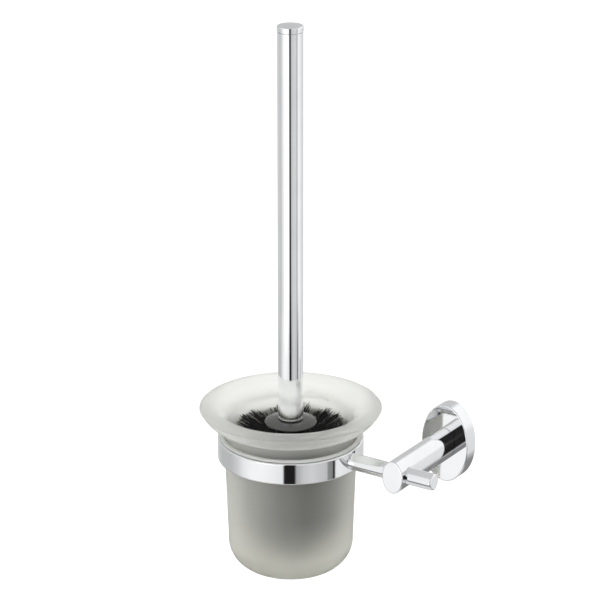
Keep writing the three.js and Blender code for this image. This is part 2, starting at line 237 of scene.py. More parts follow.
# %% Three bands of wall
DARK = 0.014
low_walls = ramp([
    (-180, 0.68), (-135, 0.52), (-108, 0.54), (-92, 0.66), (-80, 0.86), (-65, 1.0),
    (-48, 1.02), (-24, 0.92), (-12.5, 0.86), (-10, DARK), (6.5, DARK), (9, 0.42),
    (20, 0.6), (34, 0.68), (47, 0.6), (59, 0.56), (61, 0.28), (69.5, 0.24),
    (71, 0.004), (74, 0.004), (75, 0.85), (85, 0.9), (115, 0.8), (140, 0.66), (180, 0.68),
])
middle_walls = ramp([
    (-180, 0.68), (-125, 0.66), (-96, 0.6), (-84, 0.7), (-72, 0.9), (-62.5, 0.91),
    (-57, 1.15), (-49, 2.2), (-30, 2.0), (-20, 1.3), (-9.5, 0.95), (-8, DARK),
    (4, DARK), (6, 0.5), (22, 0.68), (50, 0.72), (58, 0.56), (64, 0.42),
    (69, 0.9), (80, 1.0), (105, 0.86), (128, 0.72), (180, 0.68),
])
high_walls = ramp([
    (-180, 0.6), (-130, 0.56), (-100, 0.72), (-82, 0.95), (-62, 0.92), (-50, 0.96),
    (-30, 1.0), (-10, 0.9), (-8, DARK), (8, DARK), (10, 0.8), (60, 0.86),
    (95, 1.04), (142, 1.06), (160, 0.64), (180, 0.6),
])

# %% Put the bands together
GREY_CEILING = (0.62, 0.625, 0.635, 1)
DARK_GROUND = (0.25, 0.25, 0.25, 1)
PALE_GROUND = (0.74, 0.74, 0.74, 1)
# Heights run from -1 straight down to 1 straight up, and each pair is a soft change-over.
walls = mixed(height.between(-0.362, -0.34), low_walls, middle_walls)
walls = mixed(height.between(-0.1, 0.06), walls, high_walls)
walls = mixed(height.between(0.62, 0.76), walls, GREY_CEILING)
walls = mixed((height * -1).between(0.46, 0.56), walls, DARK_GROUND)
reflected = mixed((height * -1).between(0.68, 0.8), walls, PALE_GROUND)
rays = studio.node("ShaderNodeLightPath")
glossy = Number(studio, rays.outputs["Is Glossy Ray"])
through = Number(studio, rays.outputs["Is Transmission Ray"])
mirrored = glossy * (1 - through)
seen = mixed(mirrored, (0.99, 0.99, 0.98, 1), reflected)
sky = studio.node("ShaderNodeBackground", sockets={0: seen, 1: 1.0})
studio.node("ShaderNodeOutputWorld", sockets={0: sky.outputs[0]})
print("studio:", len(world.node_tree.nodes), "nodes")

# %% [markdown]
# ## Floor
# The holder hangs on a wall, so nothing stands on the floor. A pale floor well below it keeps
# the picture clean and gives the glass something light to show.

# %% Floor
bpy.ops.object.select_all(action="DESELECT")
FLOOR_HEIGHT = -450 * MM
bpy.ops.mesh.primitive_plane_add(size=40, location=(0, 0, FLOOR_HEIGHT))
floor = bpy.context.object
floor.name = "floor"
floor.visible_glossy = False
pale = bpy.data.materials.new("pale_floor")
pale.use_nodes = True
paint = Wiring(pale.node_tree)
coat = paint.node("ShaderNodeBsdfPrincipled", sockets={
    "Base Color": (0.9, 0.9, 0.9, 1),
    "Roughness": 0.9,
    "Specular IOR Level": 0.1,
    "Emission Color": (1, 1, 1, 1),
    "Emission Strength": 0.25,
})
paint.node("ShaderNodeOutputMaterial", sockets={0: coat.outputs[0]})
floor.data.materials.append(pale)
floor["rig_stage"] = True
print("floor at", FLOOR_HEIGHT)

# %% [markdown]
# ## Tools for modelling
# Blender's operators act on whatever is selected, so each piece starts from an empty
# selection. Faces and edges are picked by their place, as a maker would point at them.

# %% Start, pick and finish
def begin():
    """Deselect everything, so that the next operator can't touch another piece."""
    if bpy.context.object and bpy.context.object.mode != "OBJECT":
        bpy.ops.object.mode_set(mode="OBJECT")
    bpy.ops.object.select_all(action="DESELECT")


def take(piece):
    """Select one piece and nothing else."""
    begin()
    piece.select_set(True)
    bpy.context.view_layer.objects.active = piece


def edit(mode):
    """Go into edit mode with nothing selected."""
    bpy.ops.object.mode_set(mode="EDIT")
    bpy.ops.mesh.select_mode(type=mode)
    bpy.ops.mesh.select_all(action="DESELECT")
    return bmesh.from_edit_mesh(bpy.context.object.data)


def pick_edges(test):
    """Select the edges of which both ends pass a test on their place."""
    shape = edit("EDGE")
    for edge in shape.edges:
        edge.select_set(all(test(v.co) for v in edge.verts))
    bmesh.update_edit_mesh(bpy.context.object.data)


def pick_faces(test):
    """Select the faces that pass a test on their middle and their normal."""
    shape = edit("FACE")
    for face in shape.faces:
        face.select_set(test(face.calc_center_median(), face.normal))
    bmesh.update_edit_mesh(bpy.context.object.data)


def bevel(width, segments):
    bpy.ops.mesh.bevel(offset=width, offset_type="OFFSET", segments=segments, profile=0.5)


def leave():
    bpy.ops.object.mode_set(mode="OBJECT")


def smooth(angle=35):
    """Shade the piece smooth, with normals led by its large faces, so that flats stay flat."""
    leave()
    bpy.ops.object.transform_apply(location=True, rotation=True, scale=True)
    bpy.ops.object.shade_smooth_by_angle(angle=math.radians(angle))
    piece = bpy.context.object
    even = piece.modifiers.new("even_shading", "WEIGHTED_NORMAL")
    even.keep_sharp = True
    bpy.ops.object.modifier_apply(modifier=even.name)


# %% [markdown]
# ## Turned pieces
# A ring, a cup or a cap is what a lathe would make: one outline, turned about an axis. By hand
# that is a single point, extruded along the outline and spun. The seam and the poles are then
# merged and the normals are worked out again, because spin can leave them pointing inwards.

# %% Outline helpers and the lathe
def arc(centre_r, centre_z, radius, start, end, steps, radius_z=None):
    """Points of an arc, angles in degrees, as (radius, height) pairs."""
    radius_z = radius if radius_z is None else radius_z
    angles = np.radians(np.linspace(start, end, steps + 1))
    return [(centre_r + radius * math.cos(a), centre_z + radius_z * math.sin(a)) for a in angles]


def turned(name, outline, steps=128, ring=True, axis=AXIS):
    """Spin an outline of (radius, height) in metres round an upright axis."""
    begin()
    points = [Vector((axis.x + r, axis.y, z)) for r, z in outline]
    if ring:
        points.append(points[0])
    bpy.ops.mesh.primitive_plane_add(size=MM, location=(0, 0, 0))
    piece = bpy.context.object
    piece.name = piece.data.name = name
    bpy.ops.object.mode_set(mode="EDIT")
    bpy.ops.mesh.select_mode(type="VERT")
    bpy.ops.mesh.select_all(action="SELECT")
    bpy.ops.mesh.merge(type="CENTER")
    bpy.ops.transform.translate(value=points[0])
    for before, after in zip(points, points[1:]):
        bpy.ops.mesh.extrude_vertices_move(TRANSFORM_OT_translate={"value": after - before})
    bpy.ops.mesh.select_all(action="SELECT")
    bpy.ops.mesh.spin(steps=steps, angle=math.tau, center=(axis.x, axis.y, 0), axis=(0, 0, 1))
    bpy.ops.mesh.select_all(action="SELECT")
    bpy.ops.mesh.remove_doubles(threshold=1e-6)
    bpy.ops.mesh.normals_make_consistent(inside=False)
    smooth()
    return piece


def cut(piece, cutter):
    """Take one piece's shape out of another."""
    take(piece)
    boolean = piece.modifiers.new("cut", "BOOLEAN")
    boolean.operation, boolean.solver, boolean.object = "DIFFERENCE", "EXACT", cutter
    bpy.ops.object.modifier_apply(modifier=boolean.name)
    bpy.data.objects.remove(cutter)


def rod(name, radius, start, end, sides=96):
    """A round rod between two points."""
    begin()
    along = end - start
    bpy.ops.mesh.primitive_cylinder_add(
        vertices=sides, radius=radius, depth=along.length, location=(start + end) / 2
    )
    piece = bpy.context.object
    piece.name = piece.data.name = name
    piece.rotation_mode = "QUATERNION"
    piece.rotation_quaternion = along.to_track_quat("Z", "Y")
    bpy.ops.object.transform_apply(location=True, rotation=True, scale=True)
    return piece


def count(piece):
    print(piece.name, "faces:", len(piece.data.polygons))


# %% [markdown]
# ## Glass cup
# The cup is blown into a mould: a nearly straight body with a rounded foot, and a flared rim
# that rolls over at its widest line. The wall is thick, which is why the rim reads as a band.
# The outline runs up the outside, over the rim and down the inside, and the cup stands on a
# narrow ring round a shallow recess under its floor.

# %% Cup
NECK_R = 48.2 * MM
SHOULDER_R = 45.3 * MM
CUP_WALL = 4.5 * MM
CUP_FLOOR = 5 * MM
FOOT_CURVE = 20.5 * MM
FOOT_RECESS = 1.2 * MM
FLARE_CURVE = 17.7 * MM
FLARE_STOP = 1 * MM
CREST_OUT = 9 * MM
RIM_DROP = 2.5 * MM
RIM_R, CUP_FOOT, RIM_TOP = upright("glass_cup")
CUP_SHOULDER = CUP_FOOT + FOOT_CURVE
FLARE_BOTTOM = RIM_TOP - 14.3 * MM
LIP_TOP = upright("ring_liner")[2]


def cup_outline():
    flat = SHOULDER_R - FOOT_CURVE
    crest = NECK_R + CREST_OUT
    widest = RIM_TOP - RIM_DROP
    flare_centre = FLARE_BOTTOM + FLARE_CURVE
    flare_end = math.degrees(math.asin((widest - FLARE_STOP - flare_centre) / FLARE_CURVE))
    inner_neck = NECK_R - CUP_WALL
    inner_curve = FOOT_CURVE - CUP_WALL
    inner_flat = SHOULDER_R - CUP_WALL - inner_curve
    floor_top = CUP_FOOT + CUP_FLOOR
    return [
        (0, CUP_FOOT + FOOT_RECESS),
        (flat - 3.5 * FOOT_RECESS, CUP_FOOT + FOOT_RECESS),
        *arc(flat - 2 * FOOT_RECESS, CUP_FOOT + FOOT_RECESS, FOOT_RECESS, 180, 270, 5),
        *arc(flat, CUP_SHOULDER, FOOT_CURVE, -90, 0, 22),
        *arc(NECK_R, flare_centre, FLARE_CURVE, -90, flare_end, 22),
        *arc(crest, widest, RIM_R - crest, 0, 90, 14, RIM_DROP),
        *arc(crest, LIP_TOP, crest - inner_neck, 100, 180, 22, RIM_TOP - LIP_TOP),
        *arc(inner_flat, floor_top + inner_curve, inner_curve, 0, -90, 16),
        (0, floor_top),
    ]


cup = turned("frosted_cup", cup_outline(), steps=160, ring=False)
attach(cup, "cup")
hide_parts("glass_cup")
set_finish(cup, "frosted_glass")
count(cup)

# %% [markdown]
# ## Ring
# The ring is a wide chrome band with soft edges. It could be a pipe with bevelled edges, but a
# turned outline gives each edge its own radius. A hole for the screw and its sunk head are
# then cut from the inside, towards the crossbar.

# %% Ring
RING_WALL = 2.8 * MM
RING_EDGE = 0.9 * MM
RING_INNER = RING_R - RING_WALL
INNER_EDGE = 0.4 * MM

ring = turned("ring_band", [
    *arc(RING_INNER + INNER_EDGE, RING_BOTTOM + INNER_EDGE, INNER_EDGE, 180, 270, 3),
    *arc(RING_R - RING_EDGE, RING_BOTTOM + RING_EDGE, RING_EDGE, -90, 0, 8),
    *arc(RING_R - RING_EDGE, RING_TOP - RING_EDGE, RING_EDGE, 0, 90, 8),
    *arc(RING_INNER + INNER_EDGE, RING_TOP - INNER_EDGE, INNER_EDGE, 90, 180, 3),
], steps=192)
SCREW_R = 2 * MM
screw_hole = rod(
    "screw_hole",
    SCREW_R + FIT,
    Vector((AXIS.x + RING_INNER - MM, AXIS.y, 0)),
    Vector((AXIS.x + RING_R + MM, AXIS.y, 0)),
    sides=32,
)
cut(ring, screw_hole)
SINK_R = 4.2 * MM
SINK_DEPTH = 2.2 * MM
begin()
bpy.ops.mesh.primitive_cone_add(
    vertices=32,
    radius1=SINK_R + MM,
    radius2=SINK_R - SINK_DEPTH,
    depth=SINK_DEPTH + MM,
    location=(AXIS.x + RING_INNER + (SINK_DEPTH - MM) / 2, AXIS.y, 0),
    rotation=(0, math.radians(90), 0),
)
cut(ring, bpy.context.object)
take(ring)
smooth(25)
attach(ring, "holder")
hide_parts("ring")
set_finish(ring, "chrome")
count(ring)

# %% [markdown]
# ## Liner
# A pale plastic liner sits inside the ring, so that glass never touches metal, and its lip
# lies on the band's top edge. Its inside follows the cup's taper, with a little play.

# %% Liner
LINER_R, LINER_BOTTOM, LINER_TOP = upright("ring_liner")
SLEEVE_R = RING_INNER - FIT
LIP_UNDER = RING_TOP + FIT
LIP_EDGE = 0.5 * MM


def cup_side(z):
    """Outside of the cup's tapered body at a height."""
    share = (z - CUP_SHOULDER) / (FLARE_BOTTOM - CUP_SHOULDER)
    return SHOULDER_R + (NECK_R - SHOULDER_R) * share


liner = turned("ring_sleeve", [
    (cup_side(LINER_BOTTOM) + FIT, LINER_BOTTOM),
    (SLEEVE_R - LIP_EDGE, LINER_BOTTOM),
    (SLEEVE_R, LINER_BOTTOM + LIP_EDGE),
    (SLEEVE_R, LIP_UNDER),
    (LINER_R, LIP_UNDER),
    *arc(LINER_R - LIP_EDGE, LINER_TOP - LIP_EDGE, LIP_EDGE, 0, 90, 5),
    *arc(cup_side(LINER_TOP) + FIT + LIP_EDGE, LINER_TOP - LIP_EDGE, LIP_EDGE, 90, 180, 5),
], steps=160)
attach(liner, "holder")
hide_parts("ring_liner")
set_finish(liner, "liner")
count(liner)

# %% [markdown]
# ## Rosette
# The rosette is a deep drawn oval cap: a flat polished front, a soft edge and a hollow back
# that hides the bracket. It starts as a cylinder that is stretched to an oval, and the back is
# inset and pushed in.

# %% Rosette
def oval_bar(name, node, sides=160):
    """A cylinder that fills an oval node's box, standing out from the wall."""
    low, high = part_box(node)
    size = high - low
    begin()
    bpy.ops.mesh.primitive_cylinder_add(
        vertices=sides,
        radius=size.x / 2,
        depth=size.y,
        location=(low + high) / 2,
        rotation=(math.radians(90), 0, 0),
    )
    piece = bpy.context.object
    piece.name = piece.data.name = name
    bpy.ops.object.transform_apply(location=True, rotation=True, scale=True)
    bpy.ops.object.mode_set(mode="EDIT")
    bpy.ops.mesh.select_all(action="SELECT")
    bpy.ops.transform.resize(value=(1, 1, size.z / size.x))
    leave()
    return piece, low, high


def grub_cutter(y, bottom, top):
    """A cutter for a grub screw's hole, which runs up from below in the middle."""
    return rod("hole", SCREW_R + FIT, Vector((0, y, bottom)), Vector((0, y, top)), sides=32)


NEAR = 0.02 * MM
ROSETTE_EDGE = 0.9 * MM
ROSETTE_WALL = 2.2 * MM

rosette, low, high = oval_bar("wall_rosette", "rosette")
pick_edges(lambda at: at.y < low.y + NEAR)
bevel(ROSETTE_EDGE, 6)
pick_faces(lambda at, normal: normal.y > 0.9)
bpy.ops.mesh.inset(thickness=ROSETTE_WALL)
bpy.ops.mesh.extrude_region_move(
    TRANSFORM_OT_translate={"value": (0, -(high.y - low.y - ROSETTE_WALL), 0)}
)
pick_edges(lambda at: at.y > high.y - NEAR)
bevel(0.3 * MM, 2)
leave()

POST_SCREW_SPACING = 13 * MM
for side in (1, -1):
    centre = Vector((0, 0, side * POST_SCREW_SPACING / 2))
    hole = rod("hole", SCREW_R + FIT, centre + Vector((0, low.y - MM, 0)), centre, sides=32)
    cut(rosette, hole)
grub_low, grub_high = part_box("rosette_grub_screw")
grub_middle = (grub_low + grub_high) / 2
cut(rosette, grub_cutter(grub_middle.y, low.z - MM, grub_high.z))
take(rosette)
smooth(25)
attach(rosette, "holder")
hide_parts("rosette")
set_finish(rosette, "chrome")
count(rosette)

# %% [markdown]
# ## Post
# The post is a solid oval bar with a fine bright edge round its front face. It is made as the
# rosette was, and then bored across for the crossbar and from below for the grub screw.

# %% Post
POST_EDGE = 0.8 * MM
bar_low, bar_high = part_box("crossbar")
BAR_R = (bar_high.z - bar_low.z) / 2
BAR_Y = (bar_low.y + bar_high.y) / 2
BORE_PLAY = 0.12 * MM

post, low, high = oval_bar("wall_post", "post")
pick_edges(lambda at: at.y < low.y + NEAR)
bevel(POST_EDGE, 6)
leave()
bore = rod(
    "bore",
    BAR_R + BORE_PLAY,
    Vector((low.x - MM, BAR_Y, 0)),
    Vector((high.x + MM, BAR_Y, 0)),
)
cut(post, bore)
cut(post, grub_cutter(BAR_Y, low.z - MM, -BAR_R))
take(post)
smooth(25)
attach(post, "holder")
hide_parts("post")
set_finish(post, "chrome")
count(post)

# %% [markdown]
# ## Crossbar
# The crossbar is round bar pushed through the post's bore. The free end has a soft chamfer, as
# a knob to hang something on. The other end is hollowed with a cylinder as large as the ring,
# so that it sits close against the ring.

# %% Crossbar
KNOB_EDGE = 1.4 * MM
SPARE = 2 * MM
SADDLE_HALF = 20 * MM
crossbar = rod(
    "cross_bar",
    BAR_R,
    Vector((bar_low.x - SPARE, BAR_Y, 0)),
    Vector((bar_high.x, BAR_Y, 0)),
)
pick_edges(lambda at: at.x > bar_high.x - NEAR)
bevel(KNOB_EDGE, 7)
leave()
saddle = rod(
    "saddle",
    RING_R + FIT / 3,
    Vector((AXIS.x, AXIS.y, -SADDLE_HALF)),
    Vector((AXIS.x, AXIS.y, SADDLE_HALF)),
    sides=384,
)
cut(crossbar, saddle)
take(crossbar)
smooth(25)
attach(crossbar, "holder")
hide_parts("crossbar")
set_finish(crossbar, "chrome")
count(crossbar)

# %% [markdown]
# ## Bracket
# The bracket is a plain oval steel plate that the rosette slips over. Two countersunk holes
# take the screws into the wall, and a hole from below lets the grub screw bite.

# %% Bracket
WALL_HOLE_SPACING = 36 * MM
WALL_HOLE_R = 2.3 * MM
bracket, low, high = oval_bar("wall_plate", "wall_bracket")
pick_edges(lambda at: at.y < low.y + NEAR or at.y > high.y - NEAR)
bevel(0.5 * MM, 3)
leave()
for side in (1, -1):
    begin()
    bpy.ops.mesh.primitive_cone_add(
        vertices=48,
        radius1=WALL_HOLE_R * 2 + MM,
        radius2=WALL_HOLE_R - MM,
        depth=WALL_HOLE_R + 2 * MM,
        location=(0, low.y + WALL_HOLE_R / 2, side * WALL_HOLE_SPACING / 2),
        rotation=(math.radians(-90), 0, 0),
    )
    cut(bracket, bpy.context.object)
    centre = Vector((0, 0, side * WALL_HOLE_SPACING / 2))
    hole = rod(
        "hole",
        WALL_HOLE_R,
        centre + Vector((0, low.y - MM, 0)),
        centre + Vector((0, MM, 0)),
        sides=48,
    )
    cut(bracket, hole)
cut(bracket, grub_cutter(grub_middle.y, low.z - MM, grub_high.z + FIT))
take(bracket)
smooth(25)
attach(bracket, "holder")
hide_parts("wall_bracket")
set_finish(bracket, "steel")
count(bracket)

# %% [markdown]
# ## Screws
# Five screws hold the chrome parts together. Each is turned from an outline with ridges for
# its thread, because a true helix this small would never be seen. A six sided socket is cut
# into the head, and then the screw is laid along the line that it is driven in.

# %% Screws
SOCKET_R = 1.3 * MM
SOCKET_DEPTH = 1.3 * MM
NO_AXIS = Vector((0, 0, 0))


def socket_screw(name, node, profile, turn):
    """A screw turned upright with its head's top at 0, then laid where its node is."""
    piece = turned(name, profile, steps=48, ring=False, axis=NO_AXIS)
    socket = rod("socket", SOCKET_R, Vector((0, 0, -SOCKET_DEPTH)), Vector((0, 0, MM)), sides=6)
    cut(piece, socket)
    take(piece)
    piece.rotation_mode = "QUATERNION"
    piece.rotation_quaternion = Vector(turn).to_track_quat("Z", "Y")
    bpy.ops.object.transform_apply(location=True, rotation=True, scale=True)
    corners = np.array([v.co for v in piece.data.vertices])
    here = (corners.min(0) + corners.max(0)) / 2
    low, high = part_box(node)
    piece.location = (low + high) / 2 - Vector(here)
    smooth(30)
    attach(piece, "holder")
    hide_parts(node)
    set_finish(piece, "steel")
    return piece


def thread(radius, top, bottom, pitch=0.7 * MM, depth=0.28 * MM):
    """A screw's threaded side as ridges, from the bottom up."""
    ridges = max(1, round((top - bottom) / pitch))
    step = (top - bottom) / ridges
    points = []
    for ridge in range(ridges):
        z = bottom + ridge * step
        points += [(radius - depth, z + 0.05 * step), (radius, z + 0.5 * step)]
    return points + [(radius - depth, top)]


def cap_screw(head_r, head_l, length):
    edge = 0.4 * MM
    return [
        (0, -length),
        (SCREW_R - 0.6 * MM, -length),
        *thread(SCREW_R, -head_l, -length + 0.4 * MM),
        (SCREW_R, -head_l),
        (head_r, -head_l),
        *arc(head_r - edge, -edge, edge, 0, 90, 4),
        (0, 0),
    ]


def sunk_screw(head_r, length):
    rim = 0.4 * MM
    cone = head_r - SCREW_R
    return [
        (0, -length),
        (SCREW_R - 0.6 * MM, -length),
        *thread(SCREW_R, -rim - cone - MM, -length + 0.4 * MM),
        (SCREW_R, -rim - cone - MM),
        (SCREW_R, -rim - cone),
        (head_r, -rim),
        (head_r, 0),
        (0, 0),
    ]


def headless_screw(length):
    return [
        (0, -length),
        (SCREW_R - 0.9 * MM, -length),
        *thread(SCREW_R, -0.2 * MM, -length + 0.7 * MM),
        (SCREW_R - 0.4 * MM, 0),
        (0, 0),
    ]


def long_side(node):
    """A screw's length, which is the longest side of its node's box."""
    low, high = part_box(node)
    return max(high - low)


BOLT_HEAD_R, BOLT_HEAD_L = 3.5 * MM, 2.6 * MM
SUNK_HEAD_R = 3.9 * MM
for place in ("upper", "lower"):
    node = f"post_screw_{place}"
    profile = cap_screw(BOLT_HEAD_R, BOLT_HEAD_L, long_side(node))
    count(socket_screw(f"post_bolt_{place}", node, profile, (0, 1, 0)))
profile = sunk_screw(SUNK_HEAD_R, long_side("ring_screw"))
count(socket_screw("ring_bolt", "ring_screw", profile, (-1, 0, 0)))
for name, node in (("rosette_set_screw", "rosette_grub_screw"),
                   ("bar_set_screw", "crossbar_grub_screw")):
    count(socket_screw(name, node, headless_screw(long_side(node)), (0, 0, -1)))

# %% [markdown]
# ## Handle
# The handle is a long chrome tube, and a slightly domed cap closes its top with a hair-thin
# seam. The seam is a real gap between two turned pieces, because a painted line would not
# catch the light.

# %% Tube and cap
TUBE_R, TUBE_BOTTOM, TUBE_TOP = upright("handle_tube")
TUBE_WALL = 1 * MM
FINE_EDGE = 0.25 * MM

tube = turned("handle_pipe", [
    (TUBE_R - TUBE_WALL, TUBE_BOTTOM),
    *arc(TUBE_R - FINE_EDGE, TUBE_BOTTOM + FINE_EDGE, FINE_EDGE, -90, 0, 4),
    *arc(TUBE_R - FINE_EDGE, TUBE_TOP - FINE_EDGE, FINE_EDGE, 0, 90, 4),
    (TUBE_R - TUBE_WALL, TUBE_TOP),
], steps=128)
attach(tube, "handle")
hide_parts("handle_tube")
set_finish(tube, "chrome")
count(tube)

CAP_R, SPIGOT_BOTTOM, CAP_TOP = upright("handle_cap")
CAP_DOME = 0.9 * MM
CAP_EDGE = 1.0 * MM
CAP_SKIRT_TOP = CAP_TOP - CAP_DOME
SKIRT_BOTTOM = TUBE_TOP + FIT


def dome(radius, rise, base, steps):
    """A shallow dome from its edge to its middle."""
    return [
        (radius * (1 - i / steps), base + rise * (1 - (1 - i / steps) ** 2))
        for i in range(steps + 1)
    ]


EDGE_TOP = arc(CAP_R - CAP_EDGE, CAP_SKIRT_TOP - CAP_EDGE, CAP_EDGE, 0, 72, 8)
cap = turned("handle_top", [
    (0, SPIGOT_BOTTOM),
    (TUBE_R - TUBE_WALL - FIT, SPIGOT_BOTTOM),
    (TUBE_R - TUBE_WALL - FIT, SKIRT_BOTTOM),
    (CAP_R - FINE_EDGE, SKIRT_BOTTOM),
    (CAP_R, SKIRT_BOTTOM + FINE_EDGE),
    *EDGE_TOP,
    *dome(EDGE_TOP[-1][0], CAP_TOP - EDGE_TOP[-1][1], EDGE_TOP[-1][1], 10)[1:],
], ring=False)
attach(cap, "handle")
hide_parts("handle_cap")
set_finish(cap, "chrome")
count(cap)

# %% [markdown]
# ## Insert
# A black insert closes the tube's lower end and holds the threaded stud. Its narrow collar
# stands below the tube and keeps the metal a hair's breadth off the disc.

# %% Insert with its collar
STUD_R, STUD_BOTTOM, STUD_TOP = upright("handle_stud")
INSERT_R, INSERT_BOTTOM, INSERT_TOP = upright("handle_insert")
COLLAR_WALL = 1.1 * MM
COLLAR_R = STUD_R + FIT + COLLAR_WALL
COLLAR_TOP = TUBE_BOTTOM - FIT

insert = turned("handle_plug", [
    (STUD_R + FIT, INSERT_BOTTOM),
    *arc(COLLAR_R - FINE_EDGE, INSERT_BOTTOM + FINE_EDGE, FINE_EDGE, -90, 0, 3),
    (COLLAR_R, COLLAR_TOP),
    (INSERT_R, COLLAR_TOP),
    (INSERT_R, INSERT_TOP - FINE_EDGE),
    (INSERT_R - FINE_EDGE, INSERT_TOP),
    (STUD_R + FIT, INSERT_TOP),
], steps=96)
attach(insert, "handle")
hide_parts("handle_insert")
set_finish(insert, "black_plastic")
count(insert)

# %% [markdown]
# ## Stud
# The stud shows when the handle is unscrewed, so its thread is a real helix: a three sided
# tooth, carried round and up by a Screw modifier, and joined to a turned core.

# %% Threaded stud
PITCH = 1.75 * MM
THREAD_DEPTH = 0.85 * MM
THREAD_START = 1.2 * MM
THREAD_SPARE = 3 * MM
STUD_CHAMFER = 0.6 * MM
TOOTH_ROOT = 0.2 * MM
CORE_R = STUD_R - THREAD_DEPTH
core = turned("stud_core", [
    (0, STUD_BOTTOM),
    (CORE_R - STUD_CHAMFER, STUD_BOTTOM),
    (CORE_R, STUD_BOTTOM + STUD_CHAMFER),
    (CORE_R, STUD_TOP - STUD_CHAMFER),
    (CORE_R - STUD_CHAMFER, STUD_TOP),
    (0, STUD_TOP),
], steps=64, ring=False)

begin()
bpy.ops.mesh.primitive_circle_add(vertices=3, radius=MM, fill_type="NOTHING")
ridge = bpy.context.object
ridge.name = ridge.data.name = "stud_thread"
turns = int((STUD_TOP - STUD_BOTTOM - THREAD_SPARE) / PITCH)
tooth = [
    (CORE_R - TOOTH_ROOT, 0),
    (STUD_R, PITCH * 0.44),
    (CORE_R - TOOTH_ROOT, PITCH * 0.88),
]
for corner, (r, z) in zip(ridge.data.vertices, tooth):
    corner.co = (r, 0, z)
helix = ridge.modifiers.new("helix", "SCREW")
helix.axis = "Z"
helix.angle = math.tau
helix.screw_offset = PITCH
helix.iterations = turns
helix.steps = helix.render_steps = 40
helix.use_smooth_shade = False
bpy.ops.object.modifier_apply(modifier=helix.name)
bpy.ops.object.mode_set(mode="EDIT")
bpy.ops.mesh.select_all(action="SELECT")
bpy.ops.mesh.remove_doubles(threshold=1e-6)
bpy.ops.mesh.select_all(action="SELECT")
bpy.ops.mesh.fill_holes(sides=3)
bpy.ops.mesh.select_all(action="SELECT")
bpy.ops.mesh.normals_make_consistent(inside=False)
leave()
ridge.location = (AXIS.x, AXIS.y, STUD_BOTTOM + THREAD_START)
core.select_set(True)
ridge.select_set(True)
bpy.context.view_layer.objects.active = core
bpy.ops.object.join()
stud = bpy.context.object
stud.name = stud.data.name = "threaded_stud"
smooth(25)
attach(stud, "handle")
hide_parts("handle_stud")
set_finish(stud, "steel")
count(stud)

# %% [markdown]
# ## Splash disc
# The disc sits on top of the brush head and keeps water off the hand. It is thin at its edge,
# rises a little to the middle and has a hole for the stud.

# %% Disc
DISC_R, DISC_BOTTOM, DISC_TOP = upright("splash_disc")
DISC_EDGE = 1.3 * MM
DISC_ROUND = 0.55 * MM
DISC_HOLE = STUD_R + FIT
DISC_SHOULDER = DISC_BOTTOM + DISC_EDGE


def disc_top(steps):
    """The disc's crowned top, from near its edge to the hole."""
    reach = DISC_R - DISC_ROUND
    rows = []
    for i in range(1, steps + 1):
        r = reach + (DISC_HOLE - reach) * i / steps
        share = 1 - ((r - DISC_HOLE) / (reach - DISC_HOLE)) ** 2
        rows.append((r, DISC_SHOULDER + (DISC_TOP - DISC_SHOULDER) * share))
    return rows


disc = turned("drip_disc", [
    (DISC_HOLE, DISC_BOTTOM),
    *arc(DISC_R - DISC_ROUND, DISC_BOTTOM + DISC_ROUND, DISC_ROUND, -90, 0, 5),
    *arc(DISC_R - DISC_ROUND, DISC_SHOULDER - DISC_ROUND, DISC_ROUND, 0, 90, 5),
    *disc_top(14),
], steps=128)
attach(disc, "disc")
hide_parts("splash_disc")
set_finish(disc, "grey_disc")
count(disc)

# %% [markdown]
# ## Hub and bush
# The brush head's core is moulded black plastic, with a brass bush at its top that takes the
# stud's thread. A fine groove runs round the core between one row of tufts and the next.

# %% Hub
HUB_R, HUB_BOTTOM, HUB_TOP = upright("brush_hub")
BUSH_R, BUSH_BOTTOM, BUSH_TOP = upright("hub_bush")
ROWS = sorted(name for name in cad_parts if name.startswith("bristle_row_"))
GROOVE = 0.35 * MM


def hub_side():
    """The hub's side: straight, with a fine groove between the rows."""
    points = []
    for row in ROWS[1:]:
        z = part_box(row)[0].z - 0.5 * MM
        points += [
            (HUB_R, z - GROOVE),
            (HUB_R - GROOVE, z),
            (HUB_R, z + GROOVE),
        ]
    return points


hub = turned("head_core", [
    (0, HUB_BOTTOM),
    *arc(HUB_R - 2 * MM, HUB_BOTTOM + 2 * MM, 2 * MM, -90, 0, 8),
    *hub_side(),
    *arc(HUB_R - 0.6 * MM, HUB_TOP - 0.6 * MM, 0.6 * MM, 0, 90, 5),
    (BUSH_R + FIT, HUB_TOP),
    (BUSH_R + FIT, BUSH_BOTTOM - FIT),
    (0, BUSH_BOTTOM - FIT),
], steps=96, ring=False)
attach(hub, "brush_head")
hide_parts("brush_hub")
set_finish(hub, "black_plastic")
count(hub)

# %% Bush
bush = turned("threaded_bush", [
    (STUD_R + FIT, BUSH_BOTTOM),
    (BUSH_R, BUSH_BOTTOM),
    (BUSH_R, BUSH_TOP - FINE_EDGE),
    (BUSH_R - FINE_EDGE, BUSH_TOP),
    (STUD_R + FIT + FINE_EDGE, BUSH_TOP),
    (STUD_R + FIT, BUSH_TOP - FINE_EDGE),
], steps=96)
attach(bush, "brush_head")
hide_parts("hub_bush")
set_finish(bush, "brass")
count(bush)

# %% [markdown]
# ## Bristles
# A real head has tufts of stiff nylon set in rows of holes. One strand is modelled by hand: a
# three sided ring, extruded along its length and drawn in at the tip. It is then copied for
# each strand, bent along its own curve. The strands of one tuft start close together and
# spread out towards their tips.

